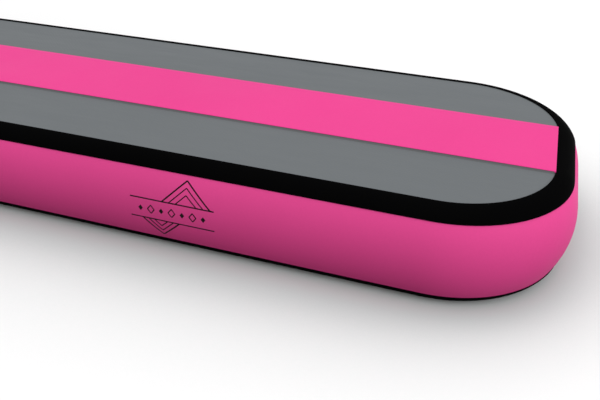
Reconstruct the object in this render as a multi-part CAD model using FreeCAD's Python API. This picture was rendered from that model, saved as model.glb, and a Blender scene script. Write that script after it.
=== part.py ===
"""Inflatable air beam for gymnastics: a narrow drop-stitch air track mat with rounded ends.

Millimetres, +Z up. The origin is the centre of the underside, where the mat rests on the floor.
+X runs along the mat to the plain end, -X to the end that holds the air valve.
Every layer follows one section: a flat top and bottom, a shoulder arc, and a larger arc for the
bulging side. The section is carried round a rounded rectangle, so the long sides are extruded
and the four corners are turned about upright axes.
"""
import FreeCAD, Part
import math
import os

V = FreeCAD.Vector

# ---- driving dimensions -------------------------------------------------------------------
mat_length = 3000.0
mat_width = 330.0
mat_height = 100.0
shoulder_radius = 20.6
shoulder_turn = 63.0            # degrees from straight up to where the side arc takes over
end_corner_radius = 98.0        # plan radius of the flat's border at the four corners

band_thickness = 0.9
skin_thickness = 1.15
liner_thickness = 1.0
tape_thickness = 0.7
glue_gap = 0.05
skin_wrap_turn = 44.0           # the skins wrap this far down the shoulder under the edge bands
seam_gap_turn = 2.0
liner_start_turn = 8.0
tape_start_turn = 2.0
tape_end_turn = 58.0

stripe_width = 100.0
stripe_thickness = 2.2
stripe_end_gap = 1.0            # short of the flat's border, below the bands' top
stripe_top_gap = 0.3            # above the bands, so that its four corners just lap them

wall_joint_x = -1325.0          # where the valve end's wall panel meets the long one
wall_joint_gap = 0.3
joint_strip_width = 45.0
strip_to_band_turn = 0.4

yarn_rows = 12
yarn_row_pitch = 20.0
yarn_step = 20.0
yarn_size = 0.8
yarn_end_margin = 22.0

# ---- section ------------------------------------------------------------------------------
turn = math.radians(shoulder_turn)
side_radius = (mat_height / 2 - shoulder_radius * (1 - math.cos(turn))) / math.cos(turn)
bulge = shoulder_radius * math.sin(turn) + side_radius * (1 - math.sin(turn))
flat_half_width = mat_width / 2 - bulge
flat_half_length = mat_length / 2 - bulge
corner_x = flat_half_length - end_corner_radius
corner_y = flat_half_width - end_corner_radius
mid_height = mat_height / 2

# depths of the layers below the outer surface
skin_depth = band_thickness + glue_gap
liner_depth = skin_depth + skin_thickness + glue_gap
tape_depth = liner_depth + liner_thickness + glue_gap
air_depth = skin_depth + skin_thickness


def section_point(degrees, depth):
    """(outward distance from the flat's border, height) at a turn from straight up, below the surface."""
    a = math.radians(degrees)
    if degrees <= shoulder_turn:
        r = shoulder_radius - depth
        return r * math.sin(a), mat_height - shoulder_radius + r * math.cos(a)
    if degrees >= 180.0 - shoulder_turn:
        r = shoulder_radius - depth
        return r * math.sin(a), shoulder_radius + r * math.cos(a)
    r = side_radius - depth
    return bulge - side_radius + r * math.sin(a), mid_height + r * math.cos(a)


def section_arcs(start, end, depth, place):
    """Edges along the section from one turn to another, at one depth."""
    stops = [start]
    stops += [t for t in (shoulder_turn, 180.0 - shoulder_turn) if start < t < end]
    stops += [end]
    edges = []
    for a, b in zip(stops, stops[1:]):
        points = [place(*section_point(t, depth)) for t in (a, (a + b) / 2, b)]
        edges.append(Part.Arc(*points).toShape())
    return edges


def layer_face(start, end, outer_depth, inner_depth):
    """Cross-section of a layer, in the XZ plane, with the corner's upright axis at the origin."""
    def place(out, up):
        return V(end_corner_radius + out, 0, up)

    def rung(degrees):
        ends = [place(*section_point(degrees, d)) for d in (outer_depth, inner_depth)]
        return Part.LineSegment(*ends).toShape()

    outer = section_arcs(start, end, outer_depth, place)
    inner = section_arcs(start, end, inner_depth, place)
    edges = outer + [rung(start)] + inner + [rung(end)]
    return Part.Face(Part.Wire(Part.__sortEdges__(edges)))


def around_mat(face):
    """Carries a cross-section round the mat's outline: four corners, two ends and two long sides."""
    pieces = []
    runs = [(2 * corner_y, 0), (2 * corner_x, 90), (2 * corner_y, 180), (2 * corner_x, 270)]
    corners = [(corner_x, corner_y, 0), (-corner_x, corner_y, 90),
               (-corner_x, -corner_y, 180), (corner_x, -corner_y, 270)]
    for x, y, angle in corners:
        corner = face.revolve(V(), V(0, 0, 1), 90)
        corner.rotate(V(), V(0, 0, 1), angle)
        corner.translate(V(x, y, 0))
        pieces.append(corner)
    starts = [(corner_x, -corner_y), (corner_x, corner_y),
              (-corner_x, corner_y), (-corner_x, -corner_y)]
    for (length, angle), (x, y) in zip(runs, starts):
        run = face.extrude(V(0, length, 0))
        run.rotate(V(), V(0, 0, 1), angle)
        run.translate(V(x, y, 0))
        pieces.append(run)
    ring = pieces[0].multiFuse(pieces[1:]).removeSplitter()
    return ring.Solids[0]


def flat_plate(low, high, grow=0.0):
    """A plate in the shape of the flat's outline between two heights."""
    hx, hy, r = flat_half_length + grow, flat_half_width + grow, end_corner_radius + grow
    plate = Part.makeBox(2 * hx, 2 * hy, high - low, V(-hx, -hy, low))
    upright = [e for e in plate.Edges if abs(e.tangentAt(e.FirstParameter).z) > 0.9]
    return plate.makeFillet(r, upright)


def mirrored_upside_down(shape):
    return shape.mirror(V(0, 0, mid_height), V(0, 0, 1))


def mirrored_across(shape):
    return shape.mirror(V(), V(0, 1, 0))


# ---- panels, side wall and bands ------------------------------------------------------------
def make_skin():
    """One face of the drop-stitch fabric: the flat and its margin wrapped down the shoulder."""
    top = mat_height - skin_depth
    flat = flat_plate(top - skin_thickness, top)
    margin = around_mat(layer_face(0.0, skin_wrap_turn, skin_depth, air_depth))
    return flat.fuse(margin).removeSplitter().Solids[0]


def make_side_layer(start, outer_depth, thickness):
    return around_mat(layer_face(start, 180.0 - start, outer_depth, outer_depth + thickness))


def make_edge_band():
    return around_mat(layer_face(0.0, shoulder_turn, 0.0, band_thickness))


def make_seam_tape():
    return around_mat(layer_face(tape_start_turn, tape_end_turn, tape_depth,
                                 tape_depth + tape_thickness))


def side_strip(start, end, outer_depth, inner_depth, x_low, x_high):
    """A straight length of a side layer on the near side, y < 0."""
    strip = layer_face(start, end, outer_depth, inner_depth).extrude(V(0, x_high - x_low, 0))
    strip.rotate(V(), V(0, 0, 1), -90)
    strip.translate(V(x_low, -corner_y, 0))
    return strip


def make_joint_strips():
    """Cover the two butt joints between the wall's panels, one on each long side."""
    start = shoulder_turn + strip_to_band_turn
    low = wall_joint_x - joint_strip_width / 2
    strip = side_strip(start, 180.0 - start, 0.0, band_thickness, low, low + joint_strip_width)
    return Part.makeCompound([strip, mirrored_across(strip)])


def split_at_joint(wall):
    """The wall as its two panels: the one round the valve end, and the long one."""
    reach = mat_length
    shift = V(wall_joint_x, -reach / 2, -reach / 2)
    valve_side = Part.makeBox(reach, reach, reach, shift - V(reach + wall_joint_gap / 2, 0, 0))
    long_side = Part.makeBox(reach, reach, reach, shift + V(wall_joint_gap / 2, 0, 0))
    return wall.common(valve_side).Solids[0], wall.common(long_side).Solids[0]


def make_centre_stripe():
    """Lies on the skin between the bands, and its four corners lap onto the bands' edges."""
    base = mat_height - skin_depth + glue_gap
    lap_base = mat_height + glue_gap
    top = base + stripe_thickness
    strips = []
    for half, low in ((flat_half_length - stripe_end_gap, base),
                      (flat_half_length - stripe_top_gap, lap_base)):
        strips.append(Part.makeBox(2 * half, stripe_width, top - low,
                                   V(-half, -stripe_width / 2, low)))
    return strips[0].fuse(strips[1]).removeSplitter().Solids[0]


def yarn_row_half_length(y):
    """How far the flat reaches along X at this Y, less a margin for the seam."""
    aside = max(0.0, abs(y) - corner_y)
    reach = end_corner_radius - yarn_end_margin
    return corner_x + math.sqrt(reach ** 2 - aside ** 2)


def make_yarns():
    """Rows of spacer yarn that zigzag between the two skins and hold them parallel."""
    low = air_depth + glue_gap
    high = mat_height - low
    depth = yarn_size * math.hypot(yarn_step, high - low) / yarn_step
    rows = []
    for i in range(yarn_rows):
        y = (i - (yarn_rows - 1) / 2) * yarn_row_pitch
        count = int(2 * yarn_row_half_length(y) / yarn_step)
        xs = [(k - count / 2) * yarn_step for k in range(count + 1)]
        upper = [V(x, y - yarn_size / 2, low + depth if k % 2 else high) for k, x in enumerate(xs)]
        lower = [p - V(0, 0, depth) for p in upper]
        outline = Part.makePolygon(upper + lower[::-1] + upper[:1])
        rows.append(Part.Face(outline).extrude(V(0, yarn_size, 0)))
    return Part.makeCompound(rows)


# ---- air valve ------------------------------------------------------------------------------
# Modelled standing up: local +Z points out of the mat, 0 at the bulge's outermost line,
# local +X is up and local +Y is the mat's +Y.
patch_radius = 36.0
gasket_radius = 23.0
gasket_top = 0.8
barrel_radius = 14.6
barrel_hole_radius = 15.2
barrel_end = -26.0
flange_radius = 25.0
flange_base = 0.85
flange_top = 4.6
flange_chamfer = 1.4
neck_radius, neck_top = 23.4, 3.0
well_radius = 11.5
ledge_radius, ledge_top = 10.0, -19.05
seat_web_top = -22.5
seat_hole_radius = 8.0
spider_low, spider_top = -19.0, -16.0
spider_rim_outer, spider_rim_inner = 11.45, 10.0
spider_hub_radius = 5.6
stem_hole_radius = 3.4
spider_arms, spider_arm_width = 3, 3.0
washer_radius = 21.0
washer_base = -6.4
nut_depth = 6.0
nut_radius = 19.4
nut_bore_radius = 14.75
nut_lugs, nut_lug_size = 8, 3.2
stem_radius = 3.2
stem_tail_radius = 2.6
stem_tail_top = -26.0
stem_end = -30.6
stem_head_radius, stem_head_top = 4.0, -29.25
button_radius, button_low, button_high = 5.5, -3.0, 1.0
button_slot_width, button_slot_depth = 1.6, 1.2
poppet_radius, poppet_low, poppet_high = 10.0, -29.2, -27.3
seal_radius, seal_low, seal_high = 9.6, -27.25, -26.05
spring_seat_inner, spring_seat_outer = 3.4, 5.4
spring_seat_low, spring_seat_high = -4.2, -3.05
spring_wire, spring_mean_radius, spring_turns = 1.0, 4.4, 5.0
plunger_travel = 5.0
cap_radius, cap_low, cap_high = 21.5, 6.0, 8.6
cap_edge_chamfer = 0.8
plug_radius, plug_inner_radius, plug_low = 11.0, 8.6, 1.5
bar_length, bar_width, bar_top = 32.0, 5.0, 11.6
cap_gasket_inner, cap_gasket_outer, cap_gasket_low = 12.5, 17.5, 4.9
ring_inner, ring_outer, ring_low, ring_high = 23.7, 26.6, 1.75, 2.85
strap_width, strap_thickness = 9.0, 1.1
hinge_y, hinge_z = 31.5, 2.95
strap_top = 7.4


def valve_place(shape):
    """Turns local +Z to the mat's -X and puts the valve on the -X end at mid height."""
    shape.rotate(V(), V(0, 1, 0), -90)
    shape.translate(V(-mat_length / 2, 0, mid_height))
    return shape


def disc(radius, low, high, hole=0.0):
    shape = Part.makeCylinder(radius, high - low, V(0, 0, low))
    if hole:
        shape = shape.cut(Part.makeCylinder(hole, high - low + 2, V(0, 0, low - 1)))
    return shape


def wall_roll(depth):
    """The solid roll whose surface is the end wall at a depth, near the valve."""
    long_enough = 4 * patch_radius
    return Part.makeCylinder(side_radius - depth, long_enough,
                             V(0, -long_enough / 2, -side_radius), V(0, 1, 0))


def chamfered(shape, radius, height, size):
    """Chamfers the circular edge of this radius at this height."""
    edges = [e for e in shape.Edges if isinstance(e.Curve, Part.Circle)
             and abs(e.Curve.Radius - radius) < 0.01 and abs(e.Curve.Center.z - height) < 0.01]
    return shape.makeChamfer(size, edges)


def make_valve_patch():
    column = disc(patch_radius, -patch_radius, 2.0, barrel_hole_radius)
    return column.common(wall_roll(0.0)).cut(wall_roll(band_thickness))


def make_valve_gasket():
    column = disc(gasket_radius, -patch_radius / 2, gasket_top, barrel_hole_radius)
    return column.cut(wall_roll(-glue_gap))


def make_inner_washer():
    column = disc(washer_radius, washer_base, 2.0, barrel_hole_radius)
    return column.common(wall_roll(liner_depth + liner_thickness + glue_gap))


def make_valve_body():
    """Flange on a narrower neck, barrel, pump well, the spider's ledge and the seat."""
    body = chamfered(disc(flange_radius, neck_top, flange_top), flange_radius, flange_top,
                     flange_chamfer)
    body = body.fuse(disc(neck_radius, flange_base, neck_top))
    body = body.fuse(disc(barrel_radius, barrel_end, flange_base))
    body = body.cut(disc(well_radius, ledge_top, flange_top + 1))
    body = body.cut(disc(ledge_radius, seat_web_top, ledge_top + 1))
    return body.cut(disc(seat_hole_radius, barrel_end - 1, seat_web_top + 1)).removeSplitter().Solids[0]


def make_valve_spider():
    """Guides the stem and carries the spring; air passes between its arms."""
    spider = disc(spider_rim_outer, spider_low, spider_top, spider_rim_inner)
    spider = spider.fuse(disc(spider_hub_radius, spider_low, spider_top))
    for i in range(spider_arms):
        arm = Part.makeBox(spider_rim_inner + 0.5, spider_arm_width, spider_top - spider_low,
                           V(0, -spider_arm_width / 2, spider_low))
        arm.rotate(V(), V(0, 0, 1), 360.0 * i / spider_arms)
        spider = spider.fuse(arm)
    stem_hole = disc(stem_hole_radius, spider_low - 1, spider_top + 1)
    return spider.cut(stem_hole).removeSplitter().Solids[0]


def make_valve_nut():
    low = washer_base - glue_gap - nut_depth
    nut = disc(nut_radius, low, low + nut_depth)
    for i in range(nut_lugs):
        lug = Part.makeBox(nut_lug_size, nut_lug_size, nut_depth,
                           V(nut_radius - nut_lug_size / 2, -nut_lug_size / 2, low))
        lug.rotate(V(), V(0, 0, 1), 360.0 * i / nut_lugs)
        nut = nut.fuse(lug)
    return nut.cut(disc(nut_bore_radius, low - 1, low + nut_depth + 1)).removeSplitter().Solids[0]


def make_valve_stem():
    """Push button, stem and riveted tail in one piece; the slot shows which way it is turned."""
    button = chamfered(disc(button_radius, button_low, button_high), button_radius, button_high, 0.8)
    slot = Part.makeBox(2 * button_radius, button_slot_width, button_slot_depth + 1,
                        V(-button_radius, -button_slot_width / 2, button_high - button_slot_depth))
    stem = button.cut(slot).fuse(disc(stem_radius, stem_tail_top, button_low))
    stem = stem.fuse(disc(stem_tail_radius, stem_end, stem_tail_top))
    return stem.fuse(disc(stem_head_radius, stem_end, stem_head_top)).removeSplitter().Solids[0]


def make_spring():
    """Compression spring between the spider and the washer under the button."""
    low = spider_top + spring_wire / 2 + glue_gap
    high = spring_seat_low - spring_wire / 2 - glue_gap
    helix = Part.makeHelix((high - low) / spring_turns, high - low, spring_mean_radius)
    helix.translate(V(0, 0, low))
    start = V(spring_mean_radius, 0, low)
    tangent = V(0, 2 * math.pi * spring_mean_radius, (high - low) / spring_turns)
    section = Part.Wire(Part.makeCircle(spring_wire / 2, start, tangent))
    return Part.Wire(helix.Edges).makePipeShell([section], True, True)


def make_valve_cap():
    """Plug cap with a finger bar, a hollow skirt and a flat top."""
    cap = chamfered(disc(cap_radius, cap_low, cap_high), cap_radius, cap_high, cap_edge_chamfer)
    skirt = disc(plug_radius, plug_low, cap_low, plug_inner_radius)
    bar = Part.makeBox(bar_width, bar_length, bar_top - cap_high,
                       V(-bar_width / 2, -bar_length / 2, cap_high))
    ends = [e for e in bar.Edges if abs(e.tangentAt(e.FirstParameter).z) > 0.9]
    bar = bar.makeFillet(bar_width / 2 - 0.1, ends)
    return cap.fuse(skirt).fuse(bar).removeSplitter().Solids[0]


def make_tether_ring():
    ring = disc(ring_outer, ring_low, ring_high, ring_inner)
    tab = Part.makeBox(strap_width, hinge_y - ring_outer + 1, ring_high - ring_low,
                       V(-strap_width / 2, ring_outer - 1, ring_low))
    return ring.fuse(tab).removeSplitter().Solids[0]


def make_cap_strap():
    """Strap from the cap's rim to the living hinge, as an L."""
    half = strap_width / 2
    rim = cap_radius - 0.01
    reach = Part.makeBox(strap_width, hinge_y - rim + 1, strap_thickness,
                         V(-half, rim - 1, strap_top - strap_thickness))
    reach = reach.cut(disc(cap_radius + glue_gap, 0, cap_high + 1))
    leg = Part.makeBox(strap_width, strap_thickness, strap_top - hinge_z - 0.15,
                       V(-half, hinge_y - strap_thickness, hinge_z + 0.15))
    return reach.fuse(leg).removeSplitter().Solids[0]


# ---- carry handles --------------------------------------------------------------------------
handle_patch_length, handle_patch_turn, handle_patch_corner = 310.0, 19.5, 12.0
webbing_width, webbing_thickness = 30.0, 2.0
handle_reach = 38.0             # from the wall to the middle of the grip
handle_slope = 50.0             # degrees between the wall and the rising webbing
wall_bend_radius, grip_bend_radius = 30.0, 22.0
grip_flat_half = 52.0           # half of the straight stretch that the grip sits on
anchored_length = 33.0
anchor_before, anchor_after, anchor_half_width, anchor_rise = 4.0, 8.0, 24.0, 3.0
tunnel_slack = 0.3
grip_length, grip_height, grip_depth, grip_round = 98.0, 37.0, 15.0, 7.0
grip_slot_height, grip_slot_depth = 30.6, 2.4

slope = math.radians(handle_slope)
wall_line = webbing_thickness / 2 + glue_gap
straight_rise = (handle_reach - wall_line
                 - (wall_bend_radius + grip_bend_radius) * (1 - math.cos(slope)))
straight_run = straight_rise / math.tan(slope)
bend_end = grip_flat_half + grip_bend_radius * math.sin(slope) + straight_run
anchor_x = bend_end + wall_bend_radius * math.sin(slope)
bend_end_rise = wall_line + wall_bend_radius * (1 - math.cos(slope))
loop_gap = 0.3


def webbing_strip(x_low, x_high):
    """The raised webbing between two X stations, for x > 0, as a flat strip on edge."""
    half = webbing_thickness / 2

    def offset_line(side):
        """The webbing's line moved to one side, from the grip out to the anchor."""
        s, c = math.sin(slope), math.cos(slope)
        r_in, r_out = grip_bend_radius + side * half, wall_bend_radius - side * half
        top = V(grip_flat_half, handle_reach + side * half, 0)
        centre = V(grip_flat_half, handle_reach - grip_bend_radius, 0)
        arc_mid = centre + V(r_in * math.sin(slope / 2), r_in * math.cos(slope / 2), 0)
        arc_end = centre + V(r_in * s, r_in * c, 0)
        low_centre = V(anchor_x, wall_line + wall_bend_radius, 0)
        low_start = low_centre + V(-r_out * s, -r_out * c, 0)
        low_mid = low_centre + V(-r_out * math.sin(slope / 2), -r_out * math.cos(slope / 2), 0)
        low_end = low_centre + V(0, -r_out, 0)
        return [Part.LineSegment(V(0, top.y, 0), top).toShape(),
                Part.Arc(top, arc_mid, arc_end).toShape(),
                Part.LineSegment(arc_end, low_start).toShape(),
                Part.Arc(low_start, low_mid, low_end).toShape()]

    outer, inner = offset_line(1), offset_line(-1)
    closers = [Part.LineSegment(V(0, handle_reach - half, 0), V(0, handle_reach + half, 0)).toShape(),
               Part.LineSegment(V(anchor_x, wall_line - half, 0),
                                V(anchor_x, wall_line + half, 0)).toShape()]
    wire = Part.Wire(Part.__sortEdges__(outer + inner + closers))
    strip = Part.Face(wire).extrude(V(0, 0, webbing_width))
    strip.translate(V(0, 0, -webbing_width / 2))
    window = Part.makeBox(x_high - x_low, 200, 2 * webbing_width, V(x_low, -50, -webbing_width))
    return strip.common(window)


def both_ends(shape):
    """The shape and its mirror image in the plane x = 0."""
    return [shape, shape.mirror(V(), V(1, 0, 0))]


def on_near_wall(shape):
    """Puts a handle piece, drawn with +Y away from the wall, on the near wall at mid length."""
    turned = shape.mirror(V(), V(0, 1, 0))
    turned.translate(V(0, -mat_width / 2, mid_height))
    return turned


def near_wall_shell(x_low, x_high, half_height, low_rise, high_rise):
    """A shell that follows the near wall, drawn with +Y away from it; rises may be negative."""
    axis_base = V(x_low, -side_radius, 0)
    outer = Part.makeCylinder(side_radius + high_rise, x_high - x_low, axis_base, V(1, 0, 0))
    inner = Part.makeCylinder(side_radius + low_rise, x_high - x_low, axis_base, V(1, 0, 0))
    window = Part.makeBox(x_high - x_low, 60, 2 * half_height, V(x_low, -30, -half_height))
    return outer.cut(inner).common(window)


def rounded_window(length, height, corner):
    box = Part.makeBox(length, 60, height, V(-length / 2, -30, -height / 2))
    across = [e for e in box.Edges if abs(e.tangentAt(e.FirstParameter).y) > 0.9]
    return box.makeFillet(corner, across)


def make_handle_patch():
    half = side_radius * math.sin(math.radians(handle_patch_turn))
    shell = near_wall_shell(-handle_patch_length / 2, handle_patch_length / 2, half,
                            -band_thickness, 0.0)
    return shell.common(rounded_window(handle_patch_length, 2 * half, handle_patch_corner))


def make_webbing_ends():
    """The parts of the webbing that stay put: the glued tails and the bends off the wall."""
    tail = near_wall_shell(anchor_x, anchor_x + anchored_length, webbing_width / 2,
                           glue_gap, glue_gap + webbing_thickness)
    end = webbing_strip(bend_end + loop_gap, anchor_x).fuse(tail).removeSplitter()
    return Part.makeCompound(both_ends(end.Solids[0]))


def make_handle_anchors():
    """Raised patches over the glued tails, each with a tunnel for the webbing."""
    low, high = anchor_x - anchor_before + 8.0, anchor_x + anchored_length + anchor_after
    pad = near_wall_shell(low, high, anchor_half_width, glue_gap, anchor_rise)
    window = rounded_window(high - low, 2 * anchor_half_width, 6.0)
    window.translate(V((low + high) / 2, 0, 0))
    tunnel = near_wall_shell(low - 1, anchor_x + anchored_length + tunnel_slack,
                             webbing_width / 2 + tunnel_slack, -1.0,
                             webbing_thickness + 2 * glue_gap)
    return Part.makeCompound(both_ends(pad.common(window).cut(tunnel).Solids[0]))


def make_handle_loop():
    half = webbing_strip(0.0, bend_end)
    return half.fuse(half.mirror(V(), V(1, 0, 0))).removeSplitter().Solids[0]


def make_handle_grip():
    box = Part.makeBox(grip_length, grip_depth, grip_height,
                       V(-grip_length / 2, handle_reach - grip_depth / 2, -grip_height / 2))
    along = [e for e in box.Edges if abs(e.tangentAt(e.FirstParameter).x) > 0.9]
    slot = Part.makeBox(grip_length + 2, grip_slot_depth, grip_slot_height,
                        V(-grip_length / 2 - 1, handle_reach - grip_slot_depth / 2,
                          -grip_slot_height / 2))
    return box.makeFillet(grip_round, along).cut(slot)


# ---- the whole mat --------------------------------------------------------------------------
def valve_opening():
    """The hole through the end wall for the valve's barrel."""
    return valve_place(disc(barrel_hole_radius, -patch_radius, patch_radius))


def make_parts():
    skin, band, tape = make_skin(), make_edge_band(), make_seam_tape()
    hole = valve_opening()
    wall = make_side_layer(skin_wrap_turn + seam_gap_turn, skin_depth, skin_thickness)
    valve_wall, long_wall = split_at_joint(wall)
    parts = {
        "top_skin": skin,
        "bottom_skin": mirrored_upside_down(skin),
        "bottom_grip_sheet": flat_plate(0.0, band_thickness, -glue_gap),
        "drop_stitch_yarns": make_yarns(),
        "sidewall": long_wall,
        "valve_end_wall": valve_wall.cut(hole),
        "sidewall_liner": make_side_layer(liner_start_turn, liner_depth, liner_thickness).cut(hole),
        "wall_joint_strips": make_joint_strips(),
        "top_edge_band": band,
        "bottom_edge_band": mirrored_upside_down(band),
        "top_seam_tape": tape,
        "bottom_seam_tape": mirrored_upside_down(tape),
        "centre_stripe": make_centre_stripe(),
    }
    valve = {
        "valve_patch": make_valve_patch(),
        "valve_gasket": make_valve_gasket(),
        "valve_inner_washer": make_inner_washer(),
        "valve_nut": make_valve_nut(),
        "valve_body": make_valve_body(),
        "valve_spider": make_valve_spider(),
        "valve_stem": make_valve_stem(),
        "valve_poppet": disc(poppet_radius, poppet_low, poppet_high, stem_tail_radius + glue_gap),
        "valve_poppet_seal": disc(seal_radius, seal_low, seal_high, stem_tail_radius + glue_gap),
        "valve_spring": make_spring(),
        "valve_spring_seat": disc(spring_seat_outer, spring_seat_low, spring_seat_high,
                                  spring_seat_inner),
        "valve_cap": make_valve_cap(),
        "valve_cap_gasket": disc(cap_gasket_outer, cap_gasket_low, cap_low, cap_gasket_inner),
        "valve_tether_ring": make_tether_ring(),
        "valve_cap_strap": make_cap_strap(),
    }
    for name, shape in valve.items():
        parts[name] = valve_place(shape)
    handle = {
        "handle_patch": make_handle_patch(),
        "handle_webbing_ends": make_webbing_ends(),
        "handle_anchors": make_handle_anchors(),
        "handle_loop": make_handle_loop(),
        "handle_grip": make_handle_grip(),
    }
    for name, shape in handle.items():
        near = on_near_wall(shape)
        parts["near_" + name] = near
        parts["far_" + name] = mirrored_across(near)
    return parts


def main():
    os.makedirs("parts", exist_ok=True)
    for name, shape in make_parts().items():
        sound = shape.isValid() and all(s.isClosed() for s in shape.Solids)
        print(f"{name:24s} solids {len(shape.Solids):3d} faces {len(shape.Faces):5d} "
              f"volume {shape.Volume / 1000:10.2f} cm3 {'ok' if sound else 'BAD'}")
        shape.exportStep(f"parts/{name}.step")


main()
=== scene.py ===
"""Looks for the inflatable air beam: its cloths, bands, print, handles and valve, round the CAD.

Metres, in the CAD's frame: +X along the mat to the plain end, -X to the valve's end, +Z up.
"""
import math

import bmesh
import bpy
import numpy as np
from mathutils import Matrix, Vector
from mathutils.bvhtree import BVHTree


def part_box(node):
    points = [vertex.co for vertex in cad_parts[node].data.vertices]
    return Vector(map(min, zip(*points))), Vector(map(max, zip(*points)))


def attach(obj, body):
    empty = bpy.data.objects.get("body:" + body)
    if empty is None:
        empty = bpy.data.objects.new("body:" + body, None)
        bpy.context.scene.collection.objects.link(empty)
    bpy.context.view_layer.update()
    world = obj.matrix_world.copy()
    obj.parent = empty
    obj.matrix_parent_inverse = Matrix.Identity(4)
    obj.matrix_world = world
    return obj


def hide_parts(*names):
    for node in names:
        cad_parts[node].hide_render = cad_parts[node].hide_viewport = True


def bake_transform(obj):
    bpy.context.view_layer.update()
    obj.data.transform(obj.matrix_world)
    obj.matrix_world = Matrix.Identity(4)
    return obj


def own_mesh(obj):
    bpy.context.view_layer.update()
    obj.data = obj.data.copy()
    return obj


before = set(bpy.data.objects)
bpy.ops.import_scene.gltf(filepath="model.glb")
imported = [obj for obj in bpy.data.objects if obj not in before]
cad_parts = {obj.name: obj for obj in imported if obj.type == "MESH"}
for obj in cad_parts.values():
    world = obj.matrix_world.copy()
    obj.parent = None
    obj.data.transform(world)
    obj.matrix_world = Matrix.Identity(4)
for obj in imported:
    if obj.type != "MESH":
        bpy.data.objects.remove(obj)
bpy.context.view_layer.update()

MM = 0.001

# ---- the mat's section, as in the CAD ----
glue_gap = 0.05 * MM
band_thickness = 0.9 * MM
skin_thickness = 1.15 * MM
liner_thickness = 1.0 * MM
tape_thickness = 0.7 * MM
shoulder_radius = 20.6 * MM
shoulder_turn = 63.0
end_corner_radius = 98.0 * MM
skin_wrap_turn = 44.0
wall_turn = skin_wrap_turn + 2.0
liner_turn = 8.0
tape_turns = (2.0, 58.0)

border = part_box("bottom_grip_sheet")[1] + Vector((glue_gap, glue_gap, 0))
mat_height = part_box("top_edge_band")[1].z
mid_height = mat_height / 2
turn = math.radians(shoulder_turn)
side_radius = (mid_height - shoulder_radius * (1 - math.cos(turn))) / math.cos(turn)
bulge = shoulder_radius * math.sin(turn) + side_radius * (1 - math.sin(turn))
wall_x, wall_y = border.x + bulge, border.y + bulge
corner_x, corner_y = border.x - end_corner_radius, border.y - end_corner_radius
skin_depth = band_thickness + glue_gap
air_depth = skin_depth + skin_thickness
liner_depth = air_depth + glue_gap
tape_depth = liner_depth + liner_thickness + glue_gap
grey_top = mat_height - skin_depth


def section_point(degrees, depth):
    """(distance outside the flat's border, height) of a point at a depth below the surface.
    The turn is 0 straight up, 90 straight out and 180 straight down."""
    a = math.radians(degrees)
    r = shoulder_radius - depth
    if degrees <= shoulder_turn:
        return r * math.sin(a), mat_height - shoulder_radius + r * math.cos(a)
    if degrees >= 180.0 - shoulder_turn:
        return r * math.sin(a), shoulder_radius + r * math.cos(a)
    r = side_radius - depth
    return bulge - side_radius + r * math.sin(a), mid_height + r * math.cos(a)


# ---- meshes ----
def add_to_scene(name, data):
    piece = bpy.data.objects.new(name, data)
    bpy.context.scene.collection.objects.link(piece)
    return piece


def closed_piece(name, vertices, faces, flow=None):
    """A closed mesh with its faces turned outward."""
    mesh = bpy.data.meshes.new(name)
    mesh.from_pydata(vertices, [], faces)
    if flow is not None:
        attribute = mesh.attributes.new("flow", "FLOAT_VECTOR", "POINT")
        attribute.data.foreach_set("vector", np.asarray(flow, np.float32).reshape(-1))
    shape = bmesh.new()
    shape.from_mesh(mesh)
    bmesh.ops.recalc_face_normals(shape, faces=shape.faces)
    if shape.calc_volume(signed=True) < 0:
        bmesh.ops.reverse_faces(shape, faces=shape.faces)
    shape.to_mesh(mesh)
    shape.free()
    return add_to_scene(name, mesh)


def loft(name, rings, around=False, flow=None, sharp=40.0):
    """A closed mesh through rings of points. around joins the last ring to the first, and without
    it both are capped. flow holds each point's metres along and across the cloth, for its weave."""
    rings = np.asarray(rings, float)
    count, size = rings.shape[:2]
    index = np.arange(count * size).reshape(count, size)
    after = np.roll(index, -1, axis=0) if around else index[1:]
    here = index if around else index[:-1]
    quads = np.stack([here, np.roll(here, -1, axis=1), np.roll(after, -1, axis=1), after], axis=-1)
    faces = [list(map(int, q)) for q in quads.reshape(-1, 4)]
    if not around:
        faces += [list(map(int, index[0][::-1])), list(map(int, index[-1]))]
    piece = closed_piece(name, rings.reshape(-1, 3).tolist(), faces, flow)
    piece.data.shade_smooth()
    piece.data.set_sharp_from_angle(angle=math.radians(sharp))
    return piece


def finish_piece(piece, material, body="mat", nodes=()):
    piece.data.materials.append(material)
    if nodes:
        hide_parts(*nodes)
    if body:
        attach(piece, body)
    return piece


# ---- stations round the mat's outline ----
station_step = 14 * MM
corner_steps = 24
slit = 0.4 * MM


def outline_stations():
    """Each station's (centre x, centre y, angle), counter-clockwise from the far side's middle."""
    found = []
    corners = [(-1, 1, 90), (-1, -1, 180), (1, -1, 270), (1, 1, 0)]
    for i, (sx, sy, start) in enumerate(corners):
        for k in range(corner_steps + 1):
            angle = math.radians(start + 90.0 * k / corner_steps)
            found.append((sx * corner_x, sy * corner_y, angle))
        nx, ny, _ = corners[(i + 1) % 4]
        length = math.hypot((nx - sx) * corner_x, (ny - sy) * corner_y)
        steps = max(2, round(length / station_step))
        for k in range(1, steps):
            t = k / steps
            x, y = (sx + (nx - sx) * t) * corner_x, (sy + (ny - sy) * t) * corner_y
            found.append((x, y, math.radians(start + 90.0)))
    middle = next(i for i, s in enumerate(found) if i > len(found) / 2 and s[0] < 0 < s[1])
    return np.array(found[middle:] + found[:middle])


stations = outline_stations()


def outline(out):
    """The mat's outline, a distance outside the flat's border, or inside it where negative."""
    radius = end_corner_radius + out
    if radius >= slit:
        centre = stations[:, :2]
    else:
        shrink = slit - radius
        centre = stations[:, :2] * [(corner_x - shrink) / corner_x, (corner_y - shrink) / corner_y]
        radius = slit
    angle = stations[:, 2]
    return centre + radius * np.stack([np.cos(angle), np.sin(angle)], axis=1)


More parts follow.
